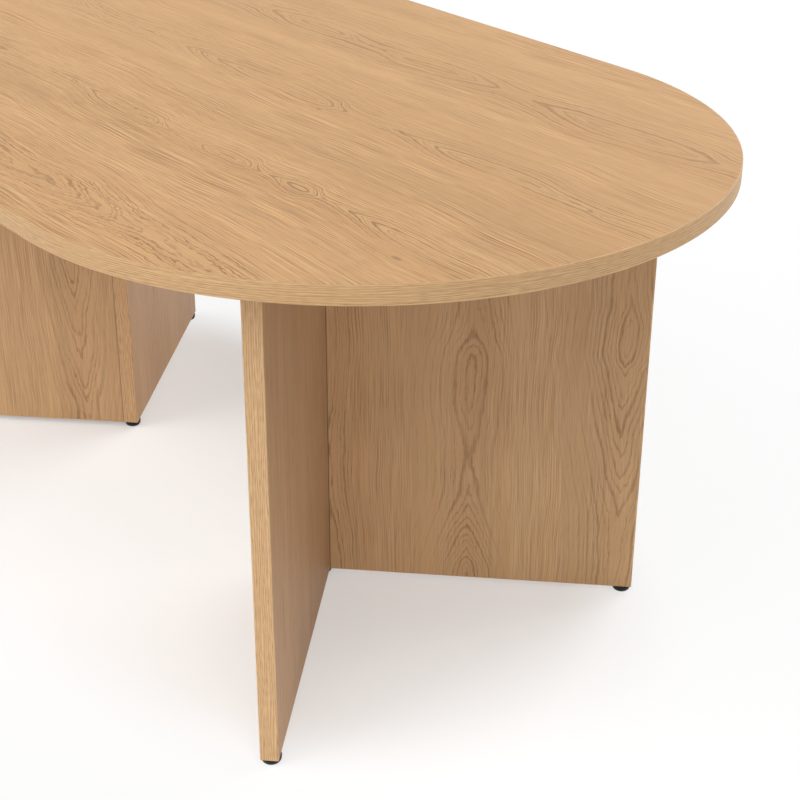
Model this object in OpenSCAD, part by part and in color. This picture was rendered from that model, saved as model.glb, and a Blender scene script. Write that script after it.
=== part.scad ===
// D-ended meeting table: one board top on two V-shaped panel legs with levelling feet.
// Millimetres. Origin on the floor under the middle of the top, X along the table, Z up.

/* [Top] */
// Overall length of the top, over both round ends
table_l = 1800; // [1600:10:2400]
// Overall width of the top, which is also the diameter of its round ends
table_w = 1000; // [920:10:1200]
// Thickness of the top board
top_t = 25; // [22:1:30]
// Thickness of the plastic edging round the top
top_band_t = 2; // [1:0.5:3]
// Rounding of the edging's outer corners
band_r = 1; // [0.3:0.1:1]

/* [Legs] */
// Length of each arm of the V, measured from its outer corner
arm_l = 492; // [440:1:520]
// Height of the leg panels
panel_h = 700; // [640:5:760]
// Thickness of the leg panels
panel_t = 25; // [22:1:28]
// How far the outer corner of the V lies inward of the round end's centre
corner_in = 117; // [60:1:200]
// How far the outer corner of the V lies to one side of the table's centre line
corner_side = 7; // [0:1:20]
// Thickness of the plastic edging on the upright ends of the panels
end_band_t = 2; // [1:0.5:3]
// Thickness of the plastic edging under the panels
base_band_t = 1; // [0.5:0.5:2]

/* [Panel joint] */
// Number of glued dowels between the two panels of a leg
joint_dowel_n = 6; // [4:1:8]
// Height of the first and last of them from the panel's lower and upper edges
joint_dowel_edge = 60; // [50:1:90]
// Diameter of the wooden dowels
dowel_d = 8; // [6:1:10]
// Length of the wooden dowels
dowel_l = 35; // [30:1:40]
// How deep a dowel goes into a board's face
dowel_in_face = 13; // [10:1:15]
// Chamfer on the ends of a dowel
dowel_chamfer = 1; // [0.5:0.1:1.5]

/* [Top fixings] */
// Distance of each cam from the end of its arm, and from the panel joint
cam_inset = 70; // [40:1:90]
// Distance of a dowel from the cam beside it
dowel_beside = 32; // [24:1:48]
// Diameter of the cam
cam_d = 15; // [12:1:18]
// Depth of the hole that holds the cam
cam_hole_depth = 16; // [15.5:0.5:18]
// How far the cam's centre lies below the panel's upper edge
cam_drop = 34; // [30:1:40]
// Diameter of the hole down the panel's edge for the bolt
bolt_hole_d = 8; // [7:0.5:9]
// Diameter of the bolt's thread in the top
bolt_thread_d = 5; // [4:0.5:6]
// Length of the bolt's thread in the top
bolt_thread_l = 11; // [8:1:12]
// Diameter of the bolt's shank
bolt_shank_d = 6; // [5:0.5:6.5]
// Diameter of the bolt's neck, which the cam grips
bolt_neck_d = 4; // [3:0.5:4.5]
// Diameter of the bolt's head
bolt_head_d = 6.6; // [6:0.1:7]

/* [Levelling feet] */
// Height of a foot, which is the gap under the panels when it is screwed right in
foot_h = 10; // [8:0.5:15]
// Largest diameter of a foot
foot_d = 28; // [24:1:34]
// Diameter of a foot's flat underside
foot_sole_d = 21; // [16:1:23]
// Distance of a foot's axis from the end of its panel
foot_inset = 15; // [14:0.5:20]
// Diameter of the stud
stud_d = 7.9; // [5.9:0.1:7.9]
// Width across the flats of the stud's head inside the foot
stud_head_w = 12; // [10:1:13]
// Thickness of that head
stud_head_t = 4; // [3:0.5:5]
// How far a foot screws out
foot_travel = 15; // [5:1:15]
// Length of the stud that stays in the insert when the foot is right out
stud_grip = 10; // [8:1:12]
// Outer diameter of the threaded insert in the panel
insert_d = 11; // [10:0.5:12]
// Length of the threaded insert
insert_l = 15; // [12:1:18]

/* [Clearances] */
// Radial gap between the stud and the insert's bore
stud_gap = 0.05; // [0.02:0.01:0.09]
// Radial gap round fixings that are pressed or glued into the boards
fixing_gap = 0.1; // [0.05:0.05:0.2]
// Space left past the end of a dowel, bolt or stud in its blind hole
hole_end_gap = 1; // [0.5:0.5:2]

/* [Hidden] */
$fn = 96;

SIDES = ["right", "left"];
FOOT_PLACES = ["long_end", "corner", "short_end"];
LEG_PIECES = [
    "long_panel", "short_panel",
    "long_outer_band", "long_inner_band", "long_base_band",
    "short_outer_band", "short_base_band",
    "joint_dowels", "top_dowels", "cam_bolts", "cam_locks", "foot_inserts"
];
FOOT_PIECES = ["foot", "stud"];

// Levels above the floor
panel_z = foot_h;
under_top_z = panel_z + panel_h;

// The round ends are half circles across the whole width
end_r = table_w / 2;
end_x = table_l / 2 - end_r;
corner_x = end_x - corner_in;

// In a leg's own frame the V's outer corner is the origin, the long panel runs along -Y from
// it and the short panel runs along +X from the long panel's inner face.
mid_t = panel_t / 2;
short_l = arm_l - panel_t;
core_z = panel_z + base_band_t;
core_h = panel_h - base_band_t;

// Places along an arm, measured from its outer end
cam_places = [cam_inset, short_l - cam_inset];
top_dowel_places = [cam_inset + dowel_beside, short_l - cam_inset - dowel_beside];

joint_dowel_pitch = (panel_h - 2 * joint_dowel_edge) / (joint_dowel_n - 1);
dowel_in_edge = dowel_l - dowel_in_face;
dowel_hole_d = dowel_d + 2 * fixing_gap;

// The cam: a drum with a room for the bolt's head, a mouth that lets the head in, and a slot
// round the wall for the neck, which it turns over to lock
cam_r = cam_d / 2 - fixing_gap;
cam_h = cam_hole_depth - hole_end_gap / 2;
head_room = 1.7;
head_slack = 0.4;
cam_room_r = bolt_head_d / 2 + head_room;
cam_room_h = bolt_head_d / 2 + head_slack;
cam_slot_w = bolt_neck_d + head_slack;
cam_mouth_d = bolt_head_d + 1.5 * head_slack;
cam_turn = 140;
cam_turn_past_neck = 35;
cross_l = 7;
cross_w = 1.3;
cross_depth = 2.6;
cross_centre_d = 2 * cross_w;

// The bolt that hangs in it
bolt_collar_d = bolt_hole_d - 0.5;
bolt_collar_h = 3;
bolt_head_h = 3;
bolt_head_bevel = bolt_head_h / 3;
bolt_point_d = 1;

// The threaded insert and the stud
insert_hole_d = insert_d + 2 * fixing_gap;
insert_bore_d = stud_d + 2 * stud_gap;
insert_root_d = insert_d - 1;
insert_barbs = 4;
barb_pitch = insert_l / (insert_barbs + 1);
barb_h = barb_pitch * 0.8;
insert_rim_h = barb_pitch / 2;
stud_l = foot_travel + stud_grip;
stud_hole_d = stud_d + 1;
stud_tip = 1;
stud_head_z = 1.5;
stud_shank_z = stud_head_z + stud_head_t;

// The foot's outline: a flat sole, a rounded shoulder, a short wall and a lip under the panel
foot_lip = 0.6;
foot_wall_h = foot_h * 0.35;
foot_shoulder_h = foot_h - foot_wall_h;
foot_shoulder_w = (foot_d - foot_sole_d) / 2;
foot_shoulder_step = 9;

// How far a cutting shape stands past the face that it cuts
past = 1;

oak_face = "#d6a980";
oak_leg_face = "#b08660";
oak_edge = "#c8a271";
beech = "#dcbc90";
zinc = "#b9bcc0";
foot_black = "#26262a";

// The top

// Carries a profile round the top: its X is the distance out from the table's middle line
module round_the_top() {
    for (turn = [0, 180]) rotate(turn) {
        translate([end_x, 0, 0]) rotate(-90) rotate_extrude(angle = 180, $fn = 360) children();
        translate([-end_x, 0, 0]) rotate([90, 0, 90]) linear_extrude(2 * end_x) children();
    }
}

// An edging strip's cross-section, w thick and t wide, its two outer corners rounded and its
// outer face at x = w
module band_section(w, t) {
    r = min(band_r, w / 2);
    square([w - r, t]);
    translate([0, r]) square([w, t - 2 * r]);
    for (y = [r, t - r]) translate([w - r, y]) circle(r);
}

module top_board() {
    color(oak_face) difference() {
        translate([0, 0, under_top_z]) round_the_top() square([end_r - top_band_t, top_t]);
        for (side = SIDES) in_leg(side) {
            at_each_cam() translate([0, 0, under_top_z - past])
                cylinder(d = bolt_thread_d, h = bolt_thread_l + hole_end_gap + past);
            at_each_top_dowel() translate([0, 0, under_top_z - past])
                cylinder(d = dowel_hole_d, h = dowel_in_face + hole_end_gap + past);
        }
    }
}

module top_edge_band() {
    color(oak_edge) translate([0, 0, under_top_z]) round_the_top()
        translate([end_r - top_band_t, 0]) band_section(top_band_t, top_t);
}

// Places in a leg

// Stands a leg's frame under the right (+X) or left (-X) end of the table
module in_leg(side) {
    rotate(side == "left" ? 180 : 0) translate([corner_x, -corner_side, 0]) rotate(45) children();
}

// Puts children on the long panel's middle plane, at a distance from its outer end, with
// their +Y pointing out of the inner face of the V
module on_long(from_end) {
    translate([mid_t, from_end - arm_l, 0]) rotate(-90) children();
}

// The same on the short panel
module on_short(from_end) {
    translate([arm_l - from_end, -mid_t, 0]) rotate(180) children();
}

module at_each_cam() {
    for (place = cam_places) {
        on_long(place) children();
        on_short(place) children();
    }
}

module at_each_top_dowel() {
    for (place = top_dowel_places) {
        on_long(place) children();
        on_short(place) children();
    }
}

module at_foot(place) {
    if (place == "long_end") on_long(foot_inset) children();
    if (place == "corner") on_long(arm_l - foot_inset) children();
    if (place == "short_end") on_short(foot_inset) children();
}

// Puts children on the axis of each joint dowel, +Z pointing from the long to the short panel
module at_each_joint_dowel() {
    for (i = [0 : joint_dowel_n - 1])
        translate([panel_t, -mid_t, panel_z + joint_dowel_edge + i * joint_dowel_pitch])
            rotate([0, 90, 0]) children();
}

// Puts children at a cam's centre on the inner face of the V, +Z pointing out of the face and
// +Y pointing up
module at_cam_face() {
    translate([0, mid_t, under_top_z - cam_drop]) rotate([90, 0, 180]) children();
}

// Holes

module top_fixing_holes() {
    at_each_cam() {
        at_cam_face() translate([0, 0, -cam_hole_depth])
            cylinder(d = cam_d, h = cam_hole_depth + past);
        translate([0, 0, under_top_z - cam_drop]) cylinder(d = bolt_hole_d, h = cam_drop + past);
    }
    at_each_top_dowel() translate([0, 0, under_top_z - dowel_in_edge - hole_end_gap])
        cylinder(d = dowel_hole_d, h = dowel_in_edge + hole_end_gap + past);
}

module joint_dowel_holes() {
    at_each_joint_dowel() translate([0, 0, -dowel_in_face - hole_end_gap])
        cylinder(d = dowel_hole_d, h = dowel_l + 2 * hole_end_gap);
}

module foot_holes() {
    for (place = FOOT_PLACES) at_foot(place) translate([0, 0, panel_z - past]) {
        cylinder(d = insert_hole_d, h = insert_l + past);
        cylinder(d = stud_hole_d, h = stud_l + hole_end_gap + past);
    }
}

// Leg panels and their edging, in the leg's frame

module long_panel() {
    color(oak_leg_face) difference() {
        translate([0, end_band_t - arm_l, core_z])
            cube([panel_t, arm_l - 2 * end_band_t, core_h]);
        top_fixing_holes();
        joint_dowel_holes();
        foot_holes();
    }
}

module short_panel() {
    color(oak_leg_face) difference() {
        translate([panel_t, -panel_t, core_z]) cube([short_l - end_band_t, panel_t, core_h]);
        top_fixing_holes();
        joint_dowel_holes();
        foot_holes();
    }
}

// Upright edging strip: its inner face stands on the local Y axis, its outer face looks to +X
module end_band() {
    color(oak_edge) translate([0, 0, panel_z]) linear_extrude(panel_h)
        translate([0, -mid_t]) band_section(end_band_t, panel_t);
}

module long_outer_band() {
    translate([mid_t, end_band_t - arm_l, 0]) rotate(-90) end_band();
}

module long_inner_band() {
    translate([mid_t, -end_band_t, 0]) rotate(90) end_band();
}

module short_outer_band() {
    translate([arm_l - end_band_t, -mid_t, 0]) end_band();
}

module long_base_band() {
    color(oak_edge) difference() {
        translate([0, end_band_t - arm_l, panel_z])
            cube([panel_t, arm_l - 2 * end_band_t, base_band_t]);
        foot_holes();
    }
}

module short_base_band() {
    color(oak_edge) difference() {
        translate([panel_t, -panel_t, panel_z]) cube([short_l - end_band_t, panel_t, base_band_t]);
        foot_holes();
    }
}

// Fixings, in the leg's frame

// Wooden dowel along +Z from z = 0
module dowel() {
    color(beech) {
        cylinder(d1 = dowel_d - 2 * dowel_chamfer, d2 = dowel_d, h = dowel_chamfer);
        translate([0, 0, dowel_chamfer]) cylinder(d = dowel_d, h = dowel_l - 2 * dowel_chamfer);
        translate([0, 0, dowel_l - dowel_chamfer])
            cylinder(d1 = dowel_d, d2 = dowel_d - 2 * dowel_chamfer, h = dowel_chamfer);
    }
}

module joint_dowels() {
    at_each_joint_dowel() translate([0, 0, -dowel_in_face]) dowel();
}

module top_dowels() {
    at_each_top_dowel() translate([0, 0, under_top_z - dowel_in_edge]) dowel();
}

// Bolt that screws up into the top and hangs its head in the cam. z = 0 is the top's underside
module cam_bolt() {
    rod_d = bolt_thread_d - 2 * fixing_gap;
    point_h = rod_d / 2;
    shank_z = cam_r + head_slack - cam_drop;
    color(zinc) {
        translate([0, 0, bolt_thread_l - point_h])
            cylinder(d1 = rod_d, d2 = bolt_point_d, h = point_h);
        translate([0, 0, -bolt_collar_h])
            cylinder(d = rod_d, h = bolt_collar_h + bolt_thread_l - point_h);
        translate([0, 0, -bolt_collar_h]) cylinder(d = bolt_collar_d, h = bolt_collar_h);
        translate([0, 0, shank_z]) cylinder(d = bolt_shank_d, h = -bolt_collar_h - shank_z);
        translate([0, 0, -cam_drop]) cylinder(d = bolt_neck_d, h = shank_z + cam_drop);
        translate([0, 0, -cam_drop - bolt_head_h / 2]) bolt_head();
    }
}

module bolt_head() {
    bevelled_d = bolt_head_d - 2 * bolt_head_bevel;
    cylinder(d1 = bevelled_d, d2 = bolt_head_d, h = bolt_head_bevel);
    translate([0, 0, bolt_head_bevel])
        cylinder(d = bolt_head_d, h = bolt_head_h - 2 * bolt_head_bevel);
    translate([0, 0, bolt_head_h - bolt_head_bevel])
        cylinder(d1 = bolt_head_d, d2 = bevelled_d, h = bolt_head_bevel);
}

module cam_bolts() {
    at_each_cam() translate([0, 0, under_top_z]) cam_bolt();
}

// The drum in its hole. z = 0 is the panel's face, +Z is out of the panel and +Y is up
module cam_lock() {
    color(zinc) difference() {
        translate([0, 0, -cam_h]) cylinder(r = cam_r, h = cam_h);
        translate([0, 0, -cam_h - past])
            cylinder(r = cam_room_r, h = cam_h + past - mid_t + cam_room_h);
        translate([0, 0, -mid_t]) rotate(90 - cam_turn_past_neck) {
            rotate_extrude(angle = cam_turn)
                translate([cam_room_r - past, -cam_slot_w / 2]) square([cam_r, cam_slot_w]);
            rotate(cam_turn) rotate([0, 90, 0]) cylinder(d = cam_mouth_d, h = cam_r + past);
        }
        cross_recess();
    }
}

module cross_recess() {
    for (turn = [45, 135]) rotate(turn) translate([-cross_l / 2, -cross_w / 2, -cross_depth])
        cube([cross_l, cross_w, cross_depth + past]);
    translate([0, 0, -cross_depth]) cylinder(d = cross_centre_d, h = cross_depth + past);
}

module cam_locks() {
    at_each_cam() at_cam_face() cam_lock();
}

// Threaded insert pressed up into a panel, barbed outside. z = 0 is the panel's underside
module foot_insert() {
    color(zinc) difference() {
        union() {
            cylinder(d = insert_root_d, h = insert_l);
            cylinder(d = insert_d, h = insert_rim_h);
            for (i = [1 : insert_barbs]) translate([0, 0, i * barb_pitch])
                cylinder(d1 = insert_d, d2 = insert_root_d, h = barb_h);
        }
        translate([0, 0, -past]) cylinder(d = insert_bore_d, h = insert_l + 2 * past);
    }
}

module foot_inserts() {
    for (place = FOOT_PLACES) at_foot(place) translate([0, 0, panel_z]) foot_insert();
}

// Levelling feet, each moulded round the head of its stud. z = 0 is the floor

module foot_outline() {
    sole_r = foot_sole_d / 2;
    polygon(concat(
        [[0, 0]],
        [for (a = [0 : foot_shoulder_step : 90])
            [sole_r + foot_shoulder_w * sin(a), foot_shoulder_h * (1 - cos(a))]],
        [
            [foot_d / 2, foot_h - foot_lip],
            [foot_d / 2 - foot_lip, foot_h - foot_lip],
            [foot_d / 2 - foot_lip, foot_h],
            [0, foot_h]
        ]
    ));
}

module foot() {
    color(foot_black) difference() {
        rotate_extrude() foot_outline();
        stud();
        translate([0, 0, stud_shank_z]) cylinder(d = insert_bore_d, h = foot_h);
    }
}

module stud() {
    stud_top = foot_h + stud_l;
    color(zinc) {
        translate([0, 0, stud_head_z]) cylinder(d = stud_head_w / cos(30), h = stud_head_t, $fn = 6);
        translate([0, 0, stud_shank_z]) cylinder(d = stud_d, h = stud_top - stud_tip - stud_shank_z);
        translate([0, 0, stud_top - stud_tip])
            cylinder(d1 = stud_d, d2 = stud_d - 2 * stud_tip, h = stud_tip);
    }
}

module leg_piece(piece) {
    if (piece == "long_panel") long_panel();
    if (piece == "short_panel") short_panel();
    if (piece == "long_outer_band") long_outer_band();
    if (piece == "long_inner_band") long_inner_band();
    if (piece == "long_base_band") long_base_band();
    if (piece == "short_outer_band") short_outer_band();
    if (piece == "short_base_band") short_base_band();
    if (piece == "joint_dowels") joint_dowels();
    if (piece == "top_dowels") top_dowels();
    if (piece == "cam_bolts") cam_bolts();
    if (piece == "cam_locks") cam_locks();
    if (piece == "foot_inserts") foot_inserts();
}

top_board();
top_edge_band();
for (side = SIDES) {
    for (piece = LEG_PIECES)
        in_leg(side) leg_piece(piece);
    for (place = FOOT_PLACES) {
        in_leg(side) at_foot(place) foot();
        in_leg(side) at_foot(place) stud();
    }
}
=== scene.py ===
"""D-ended meeting table: oak-print boards, plastic edging, hidden fixings and levelling feet.

Metres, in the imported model's frame: origin on the floor under the middle of the top, X along the
table, Z up. One section for each kind of piece, in the order in which the table is put together.
"""

from math import pi, radians

import bpy
import numpy as np
from mathutils import Matrix, Vector
from mathutils.geometry import delaunay_2d_cdt


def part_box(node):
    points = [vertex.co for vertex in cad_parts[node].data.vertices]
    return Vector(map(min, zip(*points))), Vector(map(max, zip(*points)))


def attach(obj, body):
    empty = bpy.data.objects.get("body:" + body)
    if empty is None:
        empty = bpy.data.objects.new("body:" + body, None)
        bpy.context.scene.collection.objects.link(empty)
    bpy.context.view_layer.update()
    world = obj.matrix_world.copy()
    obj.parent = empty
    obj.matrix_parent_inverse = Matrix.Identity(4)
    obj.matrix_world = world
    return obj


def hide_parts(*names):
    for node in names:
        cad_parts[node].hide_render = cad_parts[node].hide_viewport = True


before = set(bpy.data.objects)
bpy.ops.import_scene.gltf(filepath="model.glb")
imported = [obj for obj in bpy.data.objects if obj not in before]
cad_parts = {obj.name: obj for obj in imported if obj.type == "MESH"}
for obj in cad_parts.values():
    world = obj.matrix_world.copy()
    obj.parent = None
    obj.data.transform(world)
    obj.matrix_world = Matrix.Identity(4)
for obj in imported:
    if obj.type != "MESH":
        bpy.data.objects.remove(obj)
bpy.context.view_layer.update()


# Camera
# It stands off the right end of the table, twice as high as the top, and looks down on the near
# round end. Place and angles come from a fit to the photograph's edges.

CAMERA_PLACE = (2.1162, -1.3198, 1.4619)
CAMERA_HEADING = 141.073  # degrees anticlockwise from +X
CAMERA_DOWN = 27.461
CAMERA_ROLL = 0.244
CAMERA_LENS = 76.15  # millimetres, on a picture 36 mm wide

camera = bpy.data.objects.new("camera", bpy.data.cameras.new("camera"))
bpy.context.scene.collection.objects.link(camera)
camera.data.lens = CAMERA_LENS
camera.matrix_world = (
    Matrix.Translation(CAMERA_PLACE)
    @ Matrix.Rotation(radians(CAMERA_HEADING - 90), 4, "Z")
    @ Matrix.Rotation(radians(90 - CAMERA_DOWN), 4, "X")
    @ Matrix.Rotation(radians(CAMERA_ROLL), 4, "Z")
)
bpy.context.scene.camera = camera
bpy.context.scene.view_settings.view_transform = "Standard"


# Studio
# A pale floor without corners, and four broad lamps: two on the camera's side, one low on its left
# and one low behind the table. The camera and mirrors see plain white where the floor ends.

FLOOR_HALF = 30.0
FLOOR_COLOUR = (0.952, 0.961, 0.967)
TABLE_HALF = (0.9, 0.5)  # half the table's length and width
GLOW_UNDER, GLOW_AWAY = 0.36, 0.85
GLOW_GROWS = (0.78, 1.1)  # from and to, in sizes of an ellipse as long and wide as the top
LAMP_WIDTH = 50  # degrees
LAMPS = (  # name, strength, azimuth and elevation in degrees
    ("left lamp", 1.77, 247, 30),
    ("camera lamp", 1.47, 315, 60),
    ("right lamp", 0.66, 337, 30),
    ("back lamp", 1.82, 90, 30),
)


def put(tree, kind, fill=None, **settings):
    """Adds a shader node, sets its settings, and fills its inputs with values or links."""
    node = tree.nodes.new("ShaderNode" + kind)
    for name, value in settings.items():
        setattr(node, name, value)
    for key, value in (fill or {}).items():
        if isinstance(value, bpy.types.NodeSocket):
            tree.links.new(value, node.inputs[key])
        else:
            node.inputs[key].default_value = value
    return node


def calc(tree, operation, *values):
    """The value of a Math node."""
    return put(tree, "Math", dict(enumerate(values)), operation=operation).outputs[0]


def new_material(name):
    """A material with an empty tree and an output. Returns it with its tree and output."""
    material = bpy.data.materials.new(name)
    material.use_nodes = True
    material.node_tree.nodes.clear()
    return material, material.node_tree, put(material.node_tree, "OutputMaterial")


def finish_material(tree, output, shader):
    """Links a shader to the material's output."""
    tree.links.new(shader.outputs[0], output.inputs["Surface"])


def seen_directly(tree):
    """1 for rays from the camera, a mirror or glass, 0 for the light that falls on a surface."""
    path = put(tree, "LightPath").outputs
    either = calc(tree, "MAXIMUM", path["Is Camera Ray"], path["Is Glossy Ray"])
    return calc(tree, "MAXIMUM", either, path["Is Transmission Ray"])


def white_world():
    """A world that is white to the camera and dark to the surfaces, which the lamps light."""
    world = bpy.data.worlds.new("white surround")
    world.use_nodes = True
    tree = world.node_tree
    tree.nodes.clear()
    dark = put(tree, "Background", {"Strength": 0.0})
    white = put(tree, "Background", {"Color": (1, 1, 1, 1), "Strength": 1.0})
    mix = put(tree, "MixShader", {0: seen_directly(tree), 1: dark.outputs[0], 2: white.outputs[0]})
    put(tree, "OutputWorld", {"Surface": mix.outputs[0]})
    return world


bpy.context.scene.world = white_world()


def soft_lamp(name, strength, azimuth, elevation):
    """A distant lamp, broad in the sky, that stands at an azimuth (anticlockwise from +X) and an
    elevation, in degrees."""
    lamp = bpy.data.objects.new(name, bpy.data.lights.new(name, "SUN"))
    bpy.context.scene.collection.objects.link(lamp)
    lamp.data.energy = strength
    lamp.data.angle = radians(LAMP_WIDTH)
    lamp.matrix_world = Matrix.Rotation(radians(azimuth + 90), 4, "Z") @ Matrix.Rotation(
        radians(90 - elevation), 4, "X"
    )
    return lamp


for lamp_facts in LAMPS:
    soft_lamp(*lamp_facts)


def floor_paint():
    """White paint, part of which shines for the camera, so that a shadow on it stays light. The
    share that shines grows outwards, round an ellipse as long and as wide as the top."""
    material, tree, output = new_material("pale floor")
    where = put(tree, "TexCoord").outputs["Object"]
    size = (1 / TABLE_HALF[0], 1 / TABLE_HALF[1], 0)
    from_middle = put(tree, "VectorMath", {0: where, 1: size}, operation="MULTIPLY").outputs[0]
    length = put(tree, "VectorMath", {0: from_middle}, operation="LENGTH").outputs["Value"]
    grows = {"Value": length, "From Min": GLOW_GROWS[0], "From Max": GLOW_GROWS[1]}
    grows |= {"To Min": GLOW_UNDER, "To Max": GLOW_AWAY}
    glow_share = put(tree, "MapRange", grows, interpolation_type="SMOOTHSTEP").outputs[0]
    paint = put(tree, "BsdfDiffuse", {"Color": (*FLOOR_COLOUR, 1)})
    glow = put(tree, "Emission", {"Color": (1, 1, 1, 1), "Strength": 1.0})
    share = calc(tree, "MULTIPLY", seen_directly(tree), glow_share)
    mix = put(tree, "MixShader", {0: share, 1: paint.outputs[0], 2: glow.outputs[0]})
    finish_material(tree, output, mix)
    return material


floor_mesh = bpy.data.meshes.new("floor")
floor_mesh.from_pydata(
    [(x * FLOOR_HALF, y * FLOOR_HALF, 0) for x, y in ((-1, -1), (1, -1), (1, 1), (-1, 1))],
    [],
    [(0, 1, 2, 3)],
)
floor = bpy.data.objects.new("floor", floor_mesh)
bpy.context.scene.collection.objects.link(floor)
floor_mesh.materials.append(floor_paint())


# Top board
# 25 mm chipboard faced on both sides with an oak print: a row of crown-cut veneer leaves whose
# grain runs along the table. The ends are half circles. It lies on the legs, bolted from below.

TOP_LOW, TOP_HIGH = (np.array(corner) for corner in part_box("top_edge_band"))
END_R = (TOP_HIGH[1] - TOP_LOW[1]) / 2
END_X = TABLE_HALF[0] - END_R
ACROSS_TOP, ALONG_TOP, UP = (0, 1, 0), (-1, 0, 0), (0, 0, 1)
BAND_T = 0.002  # of the edging round it
END_STEPS = 120
LEAF_WIDTH = 0.232
TOP_MIDDLE = 0.047  # across the table, where the middle leaf's heart line runs
TOP_SEED = 3.0
TOP_LIGHT, TOP_DARK = (0.640, 0.382, 0.178), (0.295, 0.155, 0.056)
RED_STREAK = (1.0, 0.965, 0.93, 1)
KNOT_COLOUR = (0.330, 0.185, 0.080, 1)
# The joint line's colour: a real dark joint where two boards meet, deepened with painted shade
# where it lies in a leg's shaded corner
JOINT_LINE_AND_SHADE, JOINT_WIDE, JOINT_DARKEST = (0.045, 0.028, 0.015, 1), 0.0021, 0.0007
CHIP_LIGHT, CHIP_DARK = (0.50, 0.37, 0.23, 1), (0.27, 0.18, 0.10, 1)
CHIPS_A_METRE = 420.0
FACE_ROUGHNESS, CHIP_ROUGHNESS, PLASTIC_IOR = 0.55, 0.90, 1.45
PORE_DEPTH = 0.0002
KNOT_LONG, KNOT_EDGE = 2.5, (0.4, 1.2)  # length over width, soft edge in half widths
SHARP_ANGLE = 30  # degrees
LINE_DARK, PORE_DARK, FIBRE_DARK = 0.72, 0.34, 0.34
OWN_TONE = 0.34  # darkness of the plain print
COURSE_REACH = 1000  # millimetres each way along the grain
COURSE_RINGS = 20

# Growth rings: how pointed and blunt their arches are, how far off the heart line they begin to
# run straight and do, how often and far their widths vary, and where a ring is dark and darkest
ARCH_POINT, ARCH_BLUNT = 1.33, 0.2  # the second in rings
STRAIGHT_FROM, STRAIGHT_AT = 0.012, 0.070
UNEVEN_A_RING, UNEVEN_RINGS = 0.55, 0.9
DARK_FROM, DARKEST = 0.50, 0.87  # shares of its width

# The print's noises: features a metre across and along the grain, and the size of the swing
WANDER, SHORT_WANDER = (0, 2.2, 0.020), (0, 8.0, 0.006)  # metres
BEND = (13, 3.0, 1.3)  # rings
RIPPLE, FINE_RIPPLE = (60, 20, 0.7), (260, 70, 0.22)  # rings
LONG_TONE, STREAK = (12, 0.45, 0.30), (110, 0.7, 0.14)  # darkness

# Those that make patches and dashes: features across and along, and the noise's values where a
# patch begins and where it is full
LINE_PATCH = (12, 4.5, 0.28, 0.62)
PORE_DASH = (760, 34, 0.46, 0.66)
FIBRE, FIBRE_PATCH = (900, 8.0, 0.36, 0.64), (26, 1.6, 0.36, 0.64)
RED_PATCH = (45, 0.8, 0.3, 0.7)


def top_outline(inset):
    """Points (x, y) round the top, anticlockwise from the near side of the right end, and the
    unit outward directions there.

    The outline is a half circle about (END_X, 0) while the outward direction turns from -90 to
    90 degrees, then one about (-END_X, 0) as it turns on to 270. The straight sides join them.
    """
    turn = np.linspace(-pi / 2, pi / 2, END_STEPS + 1)
    heading = np.concatenate([turn, turn + pi])
    centre_x = np.repeat([END_X, -END_X], END_STEPS + 1)
    outward = np.column_stack([np.cos(heading), np.sin(heading)])
    points = outward * (END_R - inset)
    points[:, 0] += centre_x
    return points, outward


def mesh_piece(name, points, faces, material):
    """A mesh object of points and faces, smooth except where faces meet at over SHARP_ANGLE."""
    mesh = bpy.data.meshes.new(name)
    mesh.from_pydata(points.tolist(), [], faces)
    mesh.polygons.foreach_set("use_smooth", [True] * len(mesh.polygons))
    mesh.set_sharp_from_angle(angle=radians(SHARP_ANGLE))
    mesh.materials.append(material)
    piece = bpy.data.objects.new(name, mesh)
    bpy.context.scene.collection.objects.link(piece)
    return piece


def new_group(name, inputs, outputs):
    """A node group with named sockets, each of kind Float, Vector or Color. Returns it with the
    sockets that come in and those that go out."""
    group = bpy.data.node_groups.new(name, "ShaderNodeTree")
    for in_out, sockets in (("INPUT", inputs), ("OUTPUT", outputs)):
        for socket, kind in sockets.items():
            group.interface.new_socket(socket, in_out=in_out, socket_type="NodeSocket" + kind)
    given = group.nodes.new("NodeGroupInput").outputs
    return group, given, group.nodes.new("NodeGroupOutput").inputs


def use_group(tree, group, fill):
    """Outputs of a node group put in a tree, its inputs filled with values or links."""
    return put(tree, "Group", fill, node_tree=group).outputs


def ramp(tree, value, low, high):
    """Smooth step from 0 at `low` to 1 at `high`."""
    ends = {"Value": value, "From Min": low, "From Max": high}
    return put(tree, "MapRange", ends, interpolation_type="SMOOTHSTEP").outputs[0]


def noise(tree, place, across, along, shift, detail):
    """Noise from 0 to 1 with so many features a metre across and along the grain. `shift`, a
    value or a link, moves it to another part of the noise."""
    scaled = put(tree, "VectorMath", {0: place, 1: (across, along, 0)}, operation="MULTIPLY")
    away = put(tree, "CombineXYZ", {"Z": shift})
    where = put(tree, "VectorMath", {0: scaled.outputs[0], 1: away.outputs[0]}, operation="ADD")
    made = put(tree, "TexNoise", {"Vector": where.outputs[0], "Scale": 1.0, "Detail": detail})
    return made.outputs["Fac"]


def swing(tree, value, size):
    """Turns noise from 0..1 into a swing of about -size..size round zero."""
    return calc(tree, "MULTIPLY_ADD", value, 2 * size, -size)


def sway(tree, place, kind, shift, detail=1.0):
    """Noise of a kind, (across, along, size), as a swing round zero."""
    across, along, size = kind
    return swing(tree, noise(tree, place, across, along, shift, detail), size)


def patches(tree, place, kind, shift, detail=1.0):
    """Noise of a kind, (across, along, low, high), as patches of 1 on 0 with soft edges."""
    across, along, low, high = kind
    return ramp(tree, noise(tree, place, across, along, shift, detail), low, high)


def blend(tree, share, first, second):
    """Mixes two colours."""
    return put(tree, "Mix", {0: share, 6: first, 7: second}, data_type="RGBA").outputs[2]


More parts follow.
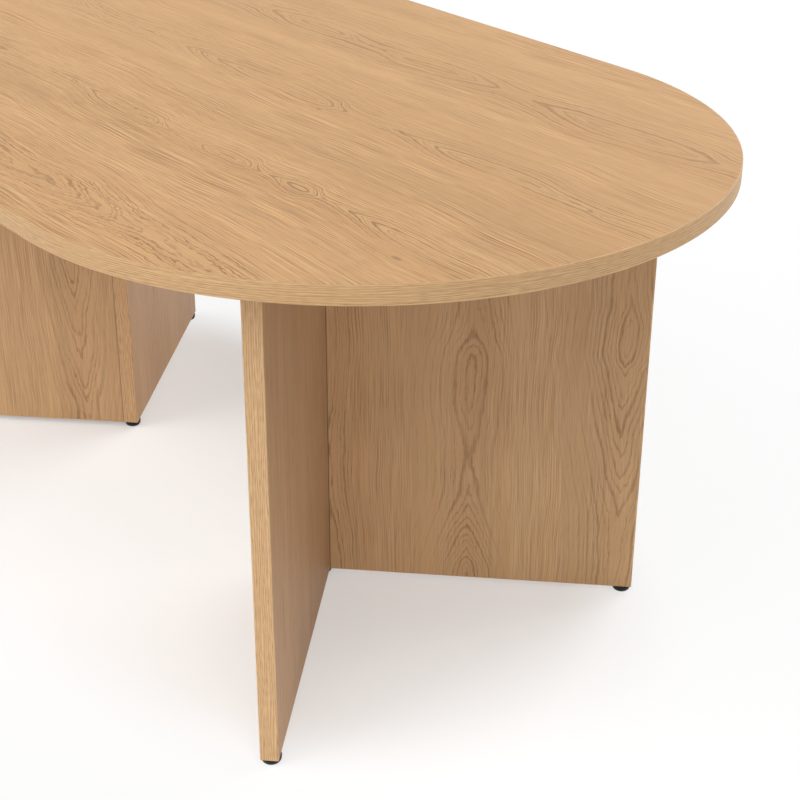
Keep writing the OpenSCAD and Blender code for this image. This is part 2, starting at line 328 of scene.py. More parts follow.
def leaf_finder():
    """Node group that finds the leaf of veneer at a place, and how far across from the leaf's
    heart line the place lies. The heart line wanders a few millimetres."""
    group, given, result = new_group(
        "veneer leaf",
        {"Place": "Vector", "Leaf Width": "Float", "Seed": "Float"},
        {"Leaf": "Float", "Off Heart": "Float"},
    )
    place = given["Place"]
    across = put(group, "SeparateXYZ", {0: place}).outputs[0]
    leaf = calc(group, "ROUND", calc(group, "DIVIDE", across, given["Leaf Width"]))
    shift = calc(group, "MULTIPLY_ADD", leaf, 3.7, given["Seed"])
    stray = [sway(group, place, kind, shift) for kind in (WANDER, SHORT_WANDER)]
    stray = calc(group, "ADD", *stray)
    middle = calc(group, "MULTIPLY_ADD", leaf, given["Leaf Width"], stray)
    group.links.new(leaf, result["Leaf"])
    group.links.new(calc(group, "SUBTRACT", across, middle), result["Off Heart"])
    return group


def oak_print():
    """Node group of a crown-cut oak print.

    The knife passes the tree's heart so many rings off it, which changes along the leaf. A place
    u rings across from the heart line is then (u^p + off^p)^(1/p) rings from the heart: straight
    lines down the sides of a leaf, arches and eyes down its middle. A power p of 2 would give
    round arches, and ARCH_POINT gives pointed ones. Each ring ends in a thin dark line.
    """
    group, given, result = new_group(
        "oak print",
        {
            "Place": "Vector",
            "Off Heart": "Float",
            "Rings Off": "Float",
            "Ring Width": "Float",
            "Curl": "Float",
            "Contrast": "Float",
            "Tone": "Float",
            "Seed": "Float",
            "Light": "Color",
            "Dark": "Color",
        },
        {"Color": "Color", "Pores": "Float"},
    )
    tree, place, seed, off = group, given["Place"], given["Seed"], given["Off Heart"]

    # How many rings from the heart. They curl near it and run straighter down the sides
    rings_across = calc(tree, "ABSOLUTE", calc(tree, "DIVIDE", off, given["Ring Width"]))
    rings_across = calc(tree, "POWER", rings_across, ARCH_POINT)
    rings_off = calc(tree, "POWER", calc(tree, "ADD", given["Rings Off"], ARCH_BLUNT), ARCH_POINT)
    rings = calc(tree, "POWER", calc(tree, "ADD", rings_across, rings_off), 1 / ARCH_POINT)
    side = ramp(tree, calc(tree, "ABSOLUTE", off), STRAIGHT_FROM, STRAIGHT_AT)
    bend = sway(tree, place, BEND, seed)
    ripple = sway(tree, place, RIPPLE, seed, 3.0)
    ripple = calc(tree, "ADD", ripple, sway(tree, place, FINE_RIPPLE, seed))
    curl = calc(tree, "MULTIPLY", given["Curl"], calc(tree, "MULTIPLY_ADD", side, -0.85, 1.0))
    rings = calc(tree, "ADD", rings, bend)
    rings = calc(tree, "MULTIPLY_ADD", ripple, curl, rings)
    run = calc(tree, "MULTIPLY", rings, UNEVEN_A_RING)
    along_rings = put(tree, "CombineXYZ", {"X": run, "Y": seed}).outputs[0]
    uneven = put(tree, "TexNoise", {"Vector": along_rings, "Scale": 1.0, "Detail": 0.0})
    rings = calc(tree, "ADD", rings, swing(tree, uneven.outputs["Fac"], UNEVEN_RINGS))

    # A ring's dark end, of its own strength, broken here and there, fading to the leaf's sides
    ring = calc(tree, "FRACT", rings)
    grows, fades = ramp(tree, ring, DARK_FROM, DARKEST), ramp(tree, ring, DARKEST, 1.0)
    line = calc(tree, "SUBTRACT", grows, fades)
    own = put(
        tree, "TexWhiteNoise", {"W": calc(tree, "FLOOR", rings)}, noise_dimensions="1D"
    ).outputs["Value"]
    line = calc(tree, "MULTIPLY", line, calc(tree, "MULTIPLY_ADD", own, 0.7, 0.3))
    plain = calc(tree, "MULTIPLY_ADD", side, 0.6, 0.4)
    side = calc(tree, "MULTIPLY_ADD", side, -0.65, 1.0)
    patch = calc(tree, "MULTIPLY_ADD", patches(tree, place, LINE_PATCH, seed), 0.8, 0.2)
    line = calc(tree, "MULTIPLY", line, calc(tree, "MULTIPLY", side, patch))
    line = calc(tree, "MULTIPLY", line, calc(tree, "MULTIPLY_ADD", given["Curl"], 0.4, 0.6))

    # The fibres run along the leaf and sway with it
    along = put(tree, "SeparateXYZ", {0: place}).outputs[1]
    across = calc(tree, "MULTIPLY_ADD", bend, 0.003, off)
    flow = put(tree, "CombineXYZ", {0: across, 1: along}).outputs[0]

    # Dashes of open pores, most of them on the rings' dark lines
    dash = patches(tree, flow, PORE_DASH, seed, 0.0)
    pore = calc(tree, "MULTIPLY", dash, calc(tree, "MULTIPLY_ADD", line, 1.2, 0.30))

    # Tones that run the length of the board, streaks and fine fibre
    tone = sway(tree, place, LONG_TONE, seed)
    streak = sway(tree, flow, STREAK, seed)
    fibre = swing(tree, patches(tree, flow, FIBRE, seed, 0.0), FIBRE_DARK)
    full = calc(tree, "MULTIPLY_ADD", patches(tree, flow, FIBRE_PATCH, seed), 0.8, 0.2)
    full = calc(tree, "MULTIPLY", plain, full)
    fibre = calc(tree, "MULTIPLY", fibre, full)

    detail = calc(tree, "MULTIPLY_ADD", line, LINE_DARK, -0.08)
    detail = calc(tree, "MULTIPLY_ADD", pore, PORE_DARK, detail)
    for part in (streak, fibre):
        detail = calc(tree, "ADD", detail, part)
    # The Tone input carries the board's painted slope of light and shade
    tone = calc(tree, "ADD", calc(tree, "ADD", tone, given["Tone"]), OWN_TONE)
    darkness = calc(tree, "MULTIPLY_ADD", detail, given["Contrast"], tone)
    colour = blend(tree, darkness, given["Light"], given["Dark"])

    # Broad streaks are a little redder
    streaks = {0: patches(tree, flow, RED_PATCH, seed), 6: colour, 7: RED_STREAK}
    colour = put(tree, "Mix", streaks, data_type="RGBA", blend_type="MULTIPLY").outputs[2]
    tree.links.new(colour, result["Color"])
    tree.links.new(calc(tree, "ADD", pore, fibre), result["Pores"])
    return group


def chipboard():
    """Node group of the bare core: flat flakes of wood pressed together."""
    group, given, result = new_group("chipboard", {"Place": "Vector"}, {"Color": "Color"})
    flakes = put(
        group, "TexVoronoi", {"Vector": given["Place"], "Scale": CHIPS_A_METRE}
    ).outputs["Color"]
    shade = put(group, "SeparateColor", {0: flakes}).outputs[0]
    group.links.new(blend(group, shade, CHIP_LIGHT, CHIP_DARK), result["Color"])
    return group


LEAF_FINDER = leaf_finder()
OAK_PRINT = oak_print()
CHIPBOARD = chipboard()


def grain_place(tree, across, along, middle):
    """Object coordinates turned so that X runs across the grain from `middle`, in metres, and Y
    runs along it."""
    across, along = np.array(across, float), np.array(along, float)
    turn = Matrix((across, along, np.cross(across, along))).to_euler()
    where = put(tree, "TexCoord").outputs["Object"]
    fill = {"Vector": where, "Rotation": turn, "Location": (-middle, 0, 0)}
    return put(tree, "Mapping", fill).outputs[0]


def rings_off_heart(tree, along, course):
    """Curve through (millimetres along the grain, rings off the heart)."""
    share_along = calc(tree, "MULTIPLY_ADD", along, 500 / COURSE_REACH, 0.5)
    node = put(tree, "FloatCurve", {"Value": share_along})
    points = node.mapping.curves[0].points
    places = [(0.5 + 0.5 * at / COURSE_REACH, rings / COURSE_RINGS) for at, rings in course]
    points[0].location, points[1].location = places[0], places[-1]
    for place in places[1:-1]:
        points.new(*place)
    node.mapping.update()
    return calc(tree, "MULTIPLY", node.outputs[0], COURSE_RINGS)


def for_leaf(tree, leaf, values):
    """The value that belongs to the leaf's number, from a dictionary of values or links."""
    total = 0.0
    for number, value in values.items():
        chosen = calc(tree, "COMPARE", leaf, number, 0.5)
        total = calc(tree, "MULTIPLY_ADD", chosen, value, total)
    return total


def across_board(tree, place):
    """The part of a place that runs across the grain."""
    return put(tree, "SeparateXYZ", {0: place}).outputs[0]


def knot_shade(tree, place, knots):
    """1 in the dark heart of each knot, (across, along, half its width in millimetres), else 0."""
    total = 0.0
    for across, along, width in knots:
        away = put(tree, "VectorMath", {0: place, 1: (across, along, 0)}, operation="SUBTRACT")
        size = (1000 / width, 1000 / (width * KNOT_LONG), 0)
        away = put(tree, "VectorMath", {0: away.outputs[0], 1: size}, operation="MULTIPLY")
        length = put(tree, "VectorMath", {0: away.outputs[0]}, operation="LENGTH").outputs["Value"]
        heart = calc(tree, "SUBTRACT", 1.0, ramp(tree, length, *KNOT_EDGE))
        total = calc(tree, "ADD", total, heart)
    return total


def oak_board(
    name,
    across,
    along,
    thick,
    middle,
    seed,
    leaves,
    light,
    dark,
    joint=None,
    knots=(),
    leaf_width=LEAF_WIDTH,
    painted_light_slope=(0.0, 0.0),
):
    """Satin melamine face with the oak print, and bare chipboard where a surface is cut.

    `across`, `along` and `thick` are the board's directions on the table: across the grain, along
    it and through the board. `middle` is where the heart line of leaf 0 lies across. `leaves`
    gives for each leaf number its rings' width in millimetres, how curly they are, how strong the
    print is, and the course of its cut: (millimetres along the grain, rings off the heart).
    `joint` is how far across, from the table's middle, another board meets this one in a thin
    dark line, and how dark the line is; the line is a real joint, deepened with painted shade
    where it lies in shade. `painted_light_slope` is painted light and shade: how much the print
    darkens a metre across, to even out the shading across a panel, and the place across where
    it has its own tone.
    """
    material, tree, output = new_material(name)
    place = grain_place(tree, across, along, middle)
    facts = {"Place": place, "Leaf Width": leaf_width, "Seed": seed}
    found = use_group(tree, LEAF_FINDER, facts)
    run = put(tree, "SeparateXYZ", {0: place}).outputs[1]
    courses = {n: rings_off_heart(tree, run, course) for n, (*_, course) in leaves.items()}
    widths = {n: width / 1000 for n, (width, _, _, _) in leaves.items()}
    curls = {n: curl for n, (_, curl, _, _) in leaves.items()}
    contrasts = {n: contrast for n, (_, _, contrast, _) in leaves.items()}
    # Painted light and shade: the print's tone slopes across the board to even out the shading
    # across it
    slope, at_own = painted_light_slope
    facts = {
        "Place": place,
        "Off Heart": found["Off Heart"],
        "Rings Off": for_leaf(tree, found["Leaf"], courses),
        "Ring Width": for_leaf(tree, found["Leaf"], widths),
        "Curl": for_leaf(tree, found["Leaf"], curls),
        "Contrast": for_leaf(tree, found["Leaf"], contrasts),
        "Tone": calc(tree, "MULTIPLY_ADD", across_board(tree, place), slope, -slope * at_own),
        "Seed": seed,
        "Light": (*light, 1),
        "Dark": (*dark, 1),
    }
    oak = use_group(tree, OAK_PRINT, facts)
    coords = put(tree, "TexCoord").outputs
    core = use_group(tree, CHIPBOARD, {"Place": coords["Object"]})[0]
    facing = put(tree, "VectorMath", {0: coords["Normal"], 1: thick}, operation="DOT_PRODUCT")
    cut = calc(tree, "LESS_THAN", calc(tree, "ABSOLUTE", facing.outputs["Value"]), 0.7)
    colour = oak["Color"]
    if knots:
        colour = blend(tree, knot_shade(tree, place, knots), colour, KNOT_COLOUR)
    colour = blend(tree, cut, colour, core)
    # A real dark joint line, with painted shade of the corner laid over it
    if joint is not None:
        at, depth = joint
        from_middle = calc(tree, "ABSOLUTE", calc(tree, "ADD", across_board(tree, place), middle))
        shade = ramp(tree, calc(tree, "SUBTRACT", from_middle, at), JOINT_WIDE, JOINT_DARKEST)
        colour = blend(tree, calc(tree, "MULTIPLY", shade, depth), colour, JOINT_LINE_AND_SHADE)
    rougher = CHIP_ROUGHNESS - FACE_ROUGHNESS
    roughness = calc(tree, "MULTIPLY_ADD", cut, rougher, FACE_ROUGHNESS)
    pores = {"Height": oak["Pores"], "Distance": PORE_DEPTH, "Strength": 1.0}
    bump = put(tree, "Bump", pores, invert=True).outputs[0]
    satin = {"Base Color": colour, "Roughness": roughness, "IOR": PLASTIC_IOR, "Normal": bump}
    finish_material(tree, output, put(tree, "BsdfPrincipled", satin))
    return material


# The top's veneer leaves, numbered across the table from the middle one, and the knots
TOP_LEAVES = {
    -2: (4.6, 2.1, 1.3, [(-1000, 14), (-700, 12.6), (-560, 12), (-480, 11), (-430, 9), (-370, 6.5),
                         (-330, 4.5), (-280, 3), (-160, 1.2), (-60, 0), (60, 2), (150, 7),
                         (1000, 6)]),
    -1: (3.2, 1.0, 1.3, [(-1000, 2), (-880, 1), (-790, 0), (-600, 7), (-560, 7.5), (-515, 3),
                         (-445, 7), (-400, 2), (-350, 0.5), (-290, 5), (-220, 6), (-165, 0.5),
                         (-100, 0), (0, 4), (120, 6), (400, 2), (700, 7), (1000, 4)]),
    0: (4.0, 1.0, 0.95, [(-1000, 3), (-850, 1), (-770, 2), (-640, 0), (-420, 6.5), (-330, 7),
                         (-260, 2), (-170, 0), (-70, 1.5), (-10, 3), (350, 12), (500, 6),
                         (640, 1), (1000, 6)]),
    1: (6.8, 0.9, 0.82, [(-1000, 6), (-790, 4), (-720, 1.5), (-610, 0), (-520, 1.5), (-440, 4),
                         (-400, 4.5), (-330, 3), (-200, 0), (-70, 2), (-20, 1.5), (60, 0),
                         (180, 3), (300, 5), (600, 1), (1000, 5)]),
    2: (5.0, 1.0, 0.85, [(-1000, 5), (-300, 2), (300, 6), (1000, 3)]),
}
TOP_KNOTS = (
    (-0.225, -0.115, 2.6),
    (-0.277, -0.760, 4.0),
    (-0.007, -0.790, 2.6),
    (-0.027, -0.275, 2.6),
)

# The right leg's place on the table, and the blind holes over both legs: their distances from
# each arm's outer end, their radius and their depth
HALF = 0.5**0.5
V_CORNER = np.array([0.283, -0.007])
ARM_LONG = 0.492
BOARD_MIDDLE = 0.0125
BOLT_HOLES = (0.070, 0.397), 0.0025, 0.012
DOWEL_HOLES = (0.102, 0.365), 0.0041, 0.014
HOLE_STEPS = 24


def hole_places(from_ends):
    """Centres (x, y) of the holes over both legs, at distances from each arm's outer end.

    A leg's own x axis runs at 45 degrees from the V's corner. Its long panel lies along -y and
    its short one along +x. The other leg is the same, turned half round.
    """
    along = np.array([HALF, HALF])
    aside = np.array([-HALF, HALF])
    far = ARM_LONG - np.array(from_ends)[:, None]
    on_long = V_CORNER + BOARD_MIDDLE * along - far * aside
    on_short = V_CORNER + far * along - BOARD_MIDDLE * aside
    one_leg = np.concatenate([on_long, on_short])
    return np.concatenate([one_leg, -one_leg])


def blank_board():
    """The board with its square edge and the blind holes in its underside, which is cut into
    flat pieces round them."""
    edge, _ = top_outline(BAND_T)
    turn = 2 * pi * np.arange(HOLE_STEPS) / HOLE_STEPS
    circle = np.column_stack([np.cos(turn), np.sin(turn)])
    rings, depths = [edge], []
    for from_ends, radius, depth in (BOLT_HOLES, DOWEL_HOLES):
        for centre in hole_places(from_ends):
            rings.append(centre + radius * circle)
            depths.append(depth)
    flat = np.concatenate(rings)
    starts = np.cumsum([0] + [len(ring) for ring in rings])
    loops = [list(range(first, last)) for first, last in zip(starts[:-1], starts[1:])]
    flat_points = [Vector(point) for point in flat]
    _, _, pieces, _, _, sources = delaunay_2d_cdt(flat_points, [], loops, 1, 1e-9)
    below = [face[::-1] for face, source in zip(pieces, sources) if source == [0]]
    count, low = len(edge), TOP_LOW[2]
    deep = np.repeat(low + np.array(depths), HOLE_STEPS)
    points = np.concatenate(
        [
            np.column_stack([flat, np.full(len(flat), low)]),
            np.column_stack([edge, np.full(count, TOP_HIGH[2])]),
            np.column_stack([flat[count:], deep]),
        ]
    )
    over = len(flat)  # steps in the list from a point of the underside to the one over it
    side = np.arange(count)
    after = (side + 1) % count
    faces = below + [(side + over).tolist()]
    faces += np.column_stack([side + over, side, after, after + over]).tolist()
    for loop in loops[1:]:
        ring = np.array(loop)
        after = np.roll(ring, -1)
        faces += np.column_stack([ring, ring + over, after + over, after]).tolist()
        faces.append((ring[::-1] + over).tolist())
    return points, faces


top_oak = oak_board(
    "oak top", ACROSS_TOP, ALONG_TOP, UP, TOP_MIDDLE, TOP_SEED, TOP_LEAVES,
    TOP_LIGHT, TOP_DARK, knots=TOP_KNOTS,
)
top_board = mesh_piece("top_board_face", *blank_board(), top_oak)
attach(top_board, "table")
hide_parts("top_board")


# Edging round the top
# One strip of 2 mm oak-print plastic, glued on all the way round with its joint at the left end,
# and trimmed with rounded arrises. Fine lines run along it.

BAND_ROUND = 0.001
RIM_LIGHT, EDGING_DARK = (0.628, 0.394, 0.191), (0.330, 0.180, 0.075)
EDGING_ROUGHNESS, LINE_DEPTH = 0.5, 0.0001
LINE_TURN = 2200.0  # radians a metre, which is a line every 2.9 mm
LINE_STRENGTH, DASH_DARK, EDGING_TONE = 0.40, 0.22, 0.32
EDGING_STRAY = (130, 6, 8.0)  # radians
EDGING_BROAD, EDGING_FINE = (110, 1.6, 0.04), (1000, 60, 0.30)
EDGING_STRONG, EDGING_DASH = (260, 26, 0.25, 0.75), (1000, 70, 0.52, 0.7)


def edging_print():
    """Node group of the edging's print: fine lines along the strip, about 3 mm apart, whose
    spacing and strength wander, with short dark dashes."""
    group, given, result = new_group(
        "edging print",
        {"Place": "Vector", "Seed": "Float", "Light": "Color", "Dark": "Color"},
        {"Color": "Color", "Lines": "Float"},
    )
    place, seed = given["Place"], given["Seed"]
    broad = sway(group, place, EDGING_BROAD, seed)
    stray = sway(group, place, EDGING_STRAY, seed)
    line_turn = calc(group, "MULTIPLY_ADD", across_board(group, place), LINE_TURN, stray)
    strong = patches(group, place, EDGING_STRONG, seed)
    line = calc(group, "MULTIPLY", calc(group, "SINE", line_turn), strong)
    fine = sway(group, place, EDGING_FINE, seed, 0.0)
    dash = patches(group, place, EDGING_DASH, seed)
    lines = calc(group, "MULTIPLY_ADD", line, LINE_STRENGTH, calc(group, "ADD", broad, fine))
    toned = calc(group, "ADD", lines, EDGING_TONE)
    darkness = calc(group, "MULTIPLY_ADD", dash, DASH_DARK, toned)
    group.links.new(blend(group, darkness, given["Light"], given["Dark"]), result["Color"])
    group.links.new(lines, result["Lines"])
    return group


EDGING_PRINT = edging_print()


def finish_edging(tree, output, place, seed, light):
    """Satin plastic with the edging's print at a place in metres, X across and Y along."""
    facts = {"Place": place, "Seed": seed, "Light": (*light, 1), "Dark": (*EDGING_DARK, 1)}
    lined = use_group(tree, EDGING_PRINT, facts)
    ridges = {"Height": lined["Lines"], "Distance": LINE_DEPTH, "Strength": 0.25}
    satin = {
        "Base Color": lined["Color"],
        "Roughness": EDGING_ROUGHNESS,
        "IOR": PLASTIC_IOR,
        "Normal": put(tree, "Bump", ridges).outputs[0],
    }
    finish_material(tree, output, put(tree, "BsdfPrincipled", satin))


def band_profile():
    """The strip's cross-section as (inset, z) points: flat against the board, rounded outside."""
    turn = np.linspace(0, pi / 2, 7)
    low = np.column_stack([BAND_ROUND * (1 - np.sin(turn)), BAND_ROUND * (1 - np.cos(turn))])
    low[:, 1] += TOP_LOW[2]
    high = low[::-1] * (1, -1) + (0, TOP_LOW[2] + TOP_HIGH[2])
    inner = [(BAND_T, TOP_HIGH[2]), (BAND_T, TOP_LOW[2])]
    return np.concatenate([low, high, inner])


profile = band_profile()
outer, outward = top_outline(0)
stations, corners = len(outer), len(profile)
band_points = np.empty((stations, corners, 3))
band_points[:, :, :2] = outer[:, None] - outward[:, None] * profile[None, :, :1]
band_points[:, :, 2] = profile[:, 1]
i, j = np.meshgrid(np.arange(stations), np.arange(corners), indexing="ij")
next_i, next_j = (i + 1) % stations, (j + 1) % corners
band_faces = np.stack(
    [i * corners + j, next_i * corners + j, next_i * corners + next_j, i * corners + next_j], -1
).reshape(-1, 4)

top_edging, tree, output = new_material("oak edging round the top")
strip = put(tree, "UVMap", uv_map="strip").outputs[0]
finish_edging(tree, output, strip, 0.0, RIM_LIGHT)
top_band = mesh_piece("top_edging", band_points.reshape(-1, 3), band_faces.tolist(), top_edging)

# The strip's own map: X is the distance round the profile and Y the distance round the top
run = np.concatenate([[0], np.cumsum(np.hypot(*np.diff(outer, axis=0).T))])
run = np.append(run, run[-1] + 2 * END_X)
girth = np.concatenate([[0], np.cumsum(np.hypot(*np.diff(profile, axis=0).T))])
girth = np.append(girth, girth[-1] + profile[0, 1] - profile[-1, 1])
far_i, far_j = i + 1, j + 1
strip_map = np.stack(
    [
        np.stack([girth[j], girth[j], girth[far_j], girth[far_j]], -1),
        np.stack([run[i], run[far_i], run[far_i], run[i]], -1),
    ],
    -1,
)
layer = top_band.data.uv_layers.new(name="strip")
layer.data.foreach_set("uv", strip_map.ravel().astype(np.float32))
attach(top_band, "table")
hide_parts("top_edge_band")


# Leg panels
# Two upright 25 mm boards a leg with the same print, grain upright, butted at a right angle. The
# faces carry the print. The ends that no edging covers are bare chipboard.

ALONG_SHORT, ALONG_LONG = (HALF, HALF, 0), (HALF, -HALF, 0)
SHORT_LIGHT, SHORT_DARK = (0.645, 0.412, 0.216), (0.345, 0.198, 0.091)
LONG_LIGHT, LONG_DARK = (0.550, 0.342, 0.188), (0.310, 0.172, 0.080)
RIGHT_SHORT_LEAVES = {
    -2: (5.0, 1.0, 1.0, [(-1000, 4), (0, 1), (200, 3), (400, 0), (1000, 6)]),
    -1: (5.5, 1.1, 0.84, [(-1000, 0), (10, 0.5), (50, 3), (90, 5.5), (130, 8), (170, 9.3),
                          (215, 9.8), (250, 9.6), (290, 8.7), (340, 8.2), (380, 8.4), (405, 9.3),
                          (425, 10.5), (500, 12), (1000, 14)]),
    0: (5.8, 0.9, 1.0, [(-1000, 13), (90, 11), (200, 8.5), (300, 6), (380, 3), (430, 1),
                        (480, 2.5), (600, 4), (1000, 7)]),
}
LEFT_SHORT_LEAVES = {
    -2: (5.0, 1.0, 1.0, [(-1000, 4), (0, 1), (200, 3), (400, 0), (1000, 6)]),
    -1: (5.0, 1.0, 1.0, [(-1000, 5), (150, 1), (350, 4), (1000, 1)]),
    0: (6.5, 0.9, 1.0, [(-1000, 12), (20, 9), (85, 7.6), (135, 6.5), (210, 5), (420, 1),
                        (1000, 3)]),
}
LONG_LEAVES = {
    number: (5.5, 0.6, 1.0, [(-1000, 2), (50 + 40 * number, 0), (350, 3.5), (520, 1), (1000, 4)])
    for number in (-3, -2, -1, 0, 1, 2, 3)
}
JOINT_AT = 0.2202  # metres from the table's middle, along the short panels
# The right leg's joint lies in its shaded inner corner and gets deeper painted shade than the left
# leg's
# painted_light_slope lightens or darkens each panel's print across it, as painted light and shade
for node, middle, leaf_width, seed, leaves, joint_line_and_shade_depth, painted_light_slope in (
    ("right_short_panel", 0.655, 0.218, 11.0, RIGHT_SHORT_LEAVES, 0.75, (0.55, -0.13)),
    ("left_short_panel", -0.290, LEAF_WIDTH, 7.0, LEFT_SHORT_LEAVES, 0.3, (0.0, 0.0)),
):
    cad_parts[node].data.materials[0] = oak_board(
        "oak " + node, ALONG_SHORT, UP, ALONG_LONG, middle, seed, leaves,
        SHORT_LIGHT, SHORT_DARK, (JOINT_AT, joint_line_and_shade_depth), leaf_width=leaf_width,
        painted_light_slope=painted_light_slope,
    )
# painted_light_slope: painted light and shade across each long panel
for node, middle, seed, painted_light_slope in (
    ("right_long_panel", 0.300, 5.0, (0.5, 0.15)),
    ("left_long_panel", -0.380, 17.0, (0.3, -0.35)),
):
    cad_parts[node].data.materials[0] = oak_board(
        "oak " + node, ALONG_LONG, UP, ALONG_SHORT, middle, seed, LONG_LEAVES,
        LONG_LIGHT, LONG_DARK, painted_light_slope=painted_light_slope,
    )


# Edging of the leg panels
# 2 mm strips up the open ends of the panels and 1 mm strips along the bottom, in the edging's
# print. The bottom strips are pierced for the feet.

LEG_EDGING_LIGHT = (0.710, 0.452, 0.231)
BACK_LONG = (-HALF, HALF, 0)  # along the long panels the other way


def leg_edging(name, across, along, seed):
    """The edging's finish with its lines along a direction of the table."""
    material, tree, output = new_material(name)
    finish_edging(tree, output, grain_place(tree, across, along, 0.0), seed, LEG_EDGING_LIGHT)
    return material


upright_on_long = leg_edging("oak edging, ends of the long panels", ALONG_SHORT, UP, 2.0)
upright_on_short = leg_edging("oak edging, ends of the short panels", ALONG_LONG, UP, 4.0)
under_long = leg_edging("oak edging under the long panels", ALONG_SHORT, BACK_LONG, 6.0)
under_short = leg_edging("oak edging under the short panels", BACK_LONG, ALONG_SHORT, 8.0)
for side in ("right", "left"):
    for band, edging in (
        ("long_outer_band", upright_on_long),
        ("long_inner_band", upright_on_long),
        ("short_outer_band", upright_on_short),
        ("long_base_band", under_long),
        ("short_base_band", under_short),
    ):
        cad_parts[f"{side}_{band}"].data.materials[0] = edging


# Wooden dowels
# Plain beech, 8 mm thick and 35 mm long. Six a leg are glued into the joint between its panels,
# and four a leg place the top on the panels.

BEECH_LIGHT, BEECH_DARK = (0.72, 0.50, 0.29, 1), (0.56, 0.36, 0.19, 1)

beech, tree, output = new_material("beech dowel")
place = put(tree, "TexCoord").outputs["Object"]
fleck = put(tree, "TexNoise", {"Vector": place, "Scale": 900.0, "Detail": 2.0}).outputs["Fac"]
beech_colour = blend(tree, fleck, BEECH_LIGHT, BEECH_DARK)
bare = {"Base Color": beech_colour, "Roughness": 0.7}
finish_material(tree, output, put(tree, "BsdfPrincipled", bare))


# Cams, bolts and foot inserts
# Die-cast cams, steel bolts and inserts, all zinc-plated, satin and slightly uneven. Four cams
# with their bolts hold the top on each leg, and three inserts take its feet.

ZINC_LIGHT, ZINC_DARK = (0.60, 0.61, 0.63, 1), (0.46, 0.47, 0.50, 1)

zinc, tree, output = new_material("zinc plating")
place = put(tree, "TexCoord").outputs["Object"]
cloud = put(tree, "TexNoise", {"Vector": place, "Scale": 420.0, "Detail": 3.0}).outputs["Fac"]
zinc_colour = blend(tree, cloud, ZINC_LIGHT, ZINC_DARK)
zinc_roughness = calc(tree, "MULTIPLY_ADD", cloud, 0.25, 0.22)
plated = {"Base Color": zinc_colour, "Metallic": 1.0, "Roughness": zinc_roughness}
finish_material(tree, output, put(tree, "BsdfPrincipled", plated))
for side in ("right", "left"):
    for node, finish in (
        ("joint_dowels", beech),
        ("top_dowels", beech),
        ("cam_bolts", zinc),
        ("cam_locks", zinc),
        ("foot_inserts", zinc),
    ):
        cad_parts[f"{side}_{node}"].data.materials[0] = finish


# Levelling feet
# A black moulded foot under each end and the corner of each leg: flat sole, round shoulder, a fine
# groove and a rounded rim. It is moulded round the hexagon head of a zinc-plated M8 stud.

FOOT_STEPS, STUD_STEPS = 72, 36
FOOT_LIGHT, FOOT_DARK = (0.014, 0.014, 0.016, 1), (0.007, 0.007, 0.008, 1)

# Millimetres
FOOT_TOP = 10.0
HEAD_FLAT_R = 6.0
THREAD_R, THREAD_ROOT_R, THREAD_PITCH = 3.95, 3.28, 1.25
STUD_FOOT, STUD_NECK, STUD_TOP = 1.5, 5.5, 35.0

# The thread's ridge in its own height: its peak and its fall a pitch, cut off flat at 0 and 1
RIDGE_TOP, RIDGE_SLOPE = 1.32, 2.9


def turned(radius, height):
    """Points and faces of a closed surface round the Z axis. `radius` has a row for each height
    and a column for each step round, from the row whose end faces up to the one whose end faces
    down."""
    rows, steps = radius.shape
    turn = 2 * pi * np.arange(steps) / steps
    points = np.stack(
        [radius * np.cos(turn), radius * np.sin(turn), np.repeat(height[:, None], steps, 1)], -1
    )
    i, j = np.meshgrid(np.arange(rows - 1), np.arange(steps), indexing="ij")
    here, beside = i * steps + j, i * steps + (j + 1) % steps
    walls = np.stack([here, here + steps, beside + steps, beside], -1).reshape(-1, 4).tolist()
    last = (rows - 1) * steps
    ends = [list(range(steps)), list(range(last + steps - 1, last - 1, -1))]
    return points.reshape(-1, 3), walls + ends


def foot_surface():
    """The foot from the floor of the pocket for the stud's head, up its bore, over the rim and
    down to the sole. The shoulder is a quarter of an ellipse from the wall to the sole's edge."""
    turn = np.linspace(0, pi / 2, 15)
    shoulder = np.column_stack([10.5 + 3.5 * np.cos(turn), 6.5 - 6.5 * np.sin(turn)])
    bore = [(7.0, STUD_FOOT), (7.0, STUD_NECK), (THREAD_R, STUD_NECK), (THREAD_R, FOOT_TOP)]
    rim = [(13.1, FOOT_TOP), (13.3, 9.9), (13.4, 9.7), (13.4, 9.45), (13.8, 9.4), (14.0, 9.2)]
    groove = [(14.0, 8.0), (13.6, 7.8), (13.6, 7.5), (14.0, 7.3)]
    outline = np.concatenate([bore, rim, groove, shoulder])
    return turned(np.repeat(outline[:, :1], FOOT_STEPS, 1), outline[:, 1])


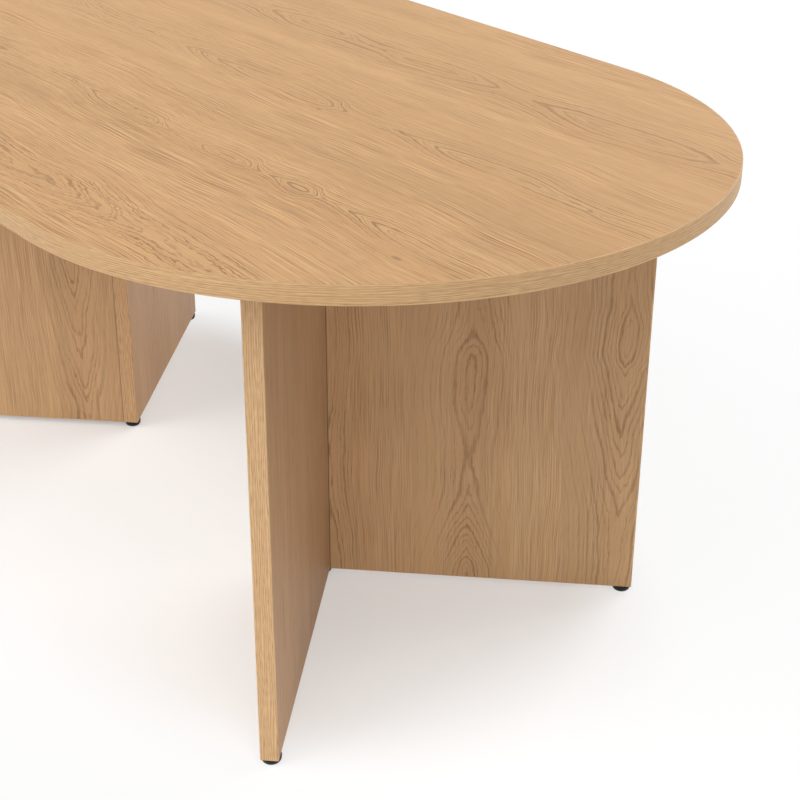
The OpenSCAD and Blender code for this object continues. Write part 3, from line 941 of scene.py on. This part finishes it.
def stud_surface():
    """The stud from its top down to its head. At an angle t round the axis the thread's ridge is
    as high as pitch * (n + t / (2 pi)), its flanks slope, and its crest and root are flat. The
    head's radius is its half width over flats divided by the cosine of the angle off a flat."""
    turn = 2 * pi * np.arange(STUD_STEPS) / STUD_STEPS
    height = np.arange(STUD_TOP, STUD_NECK, -THREAD_PITCH / 10)
    phase = (height[:, None] / THREAD_PITCH - turn / (2 * pi)) % 1.0
    ridge = np.clip(RIDGE_TOP - RIDGE_SLOPE * np.abs(phase - 0.5), 0, 1)
    thread = THREAD_ROOT_R + (THREAD_R - THREAD_ROOT_R) * ridge
    thread = np.minimum(thread, THREAD_R - 1 + (STUD_TOP - height)[:, None])
    flat = (turn + pi / 6) % (pi / 3) - pi / 6
    head = np.tile(HEAD_FLAT_R / np.cos(flat), (2, 1))
    neck = np.full((1, STUD_STEPS), THREAD_ROOT_R)
    radius = np.concatenate([thread, neck, head])
    return turned(radius, np.append(height, [STUD_NECK, STUD_NECK, STUD_FOOT]))


black, tree, output = new_material("black moulded plastic")
place = put(tree, "TexCoord").outputs["Object"]
spark = put(tree, "TexNoise", {"Vector": place, "Scale": 2200.0, "Detail": 2.0}).outputs["Fac"]
bump = put(tree, "Bump", {"Height": spark, "Distance": 0.0001, "Strength": 0.15})
moulded = {
    "Base Color": blend(tree, spark, FOOT_DARK, FOOT_LIGHT),
    "Roughness": 0.32,
    "Specular IOR Level": 0.25,
    "Normal": bump.outputs[0],
}
finish_material(tree, output, put(tree, "BsdfPrincipled", moulded))

for side in ("right", "left"):
    for end in ("long_end", "corner", "short_end"):
        low, high = (np.array(corner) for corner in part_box(f"{side}_{end}_foot"))
        axis = [(low[0] + high[0]) / 2, (low[1] + high[1]) / 2, 0]
        for part, surface, finish, slot in (
            ("foot", foot_surface(), black, "black_plastic"),
            ("stud", stud_surface(), zinc, "zinc_plate"),
        ):
            points, faces = surface
            piece = mesh_piece(f"{side}_{end}_{part}_turned", points / 1000 + axis, faces, finish)
            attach(piece, f"{side}_{end}_leveller")
            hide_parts(f"{side}_{end}_{part}")
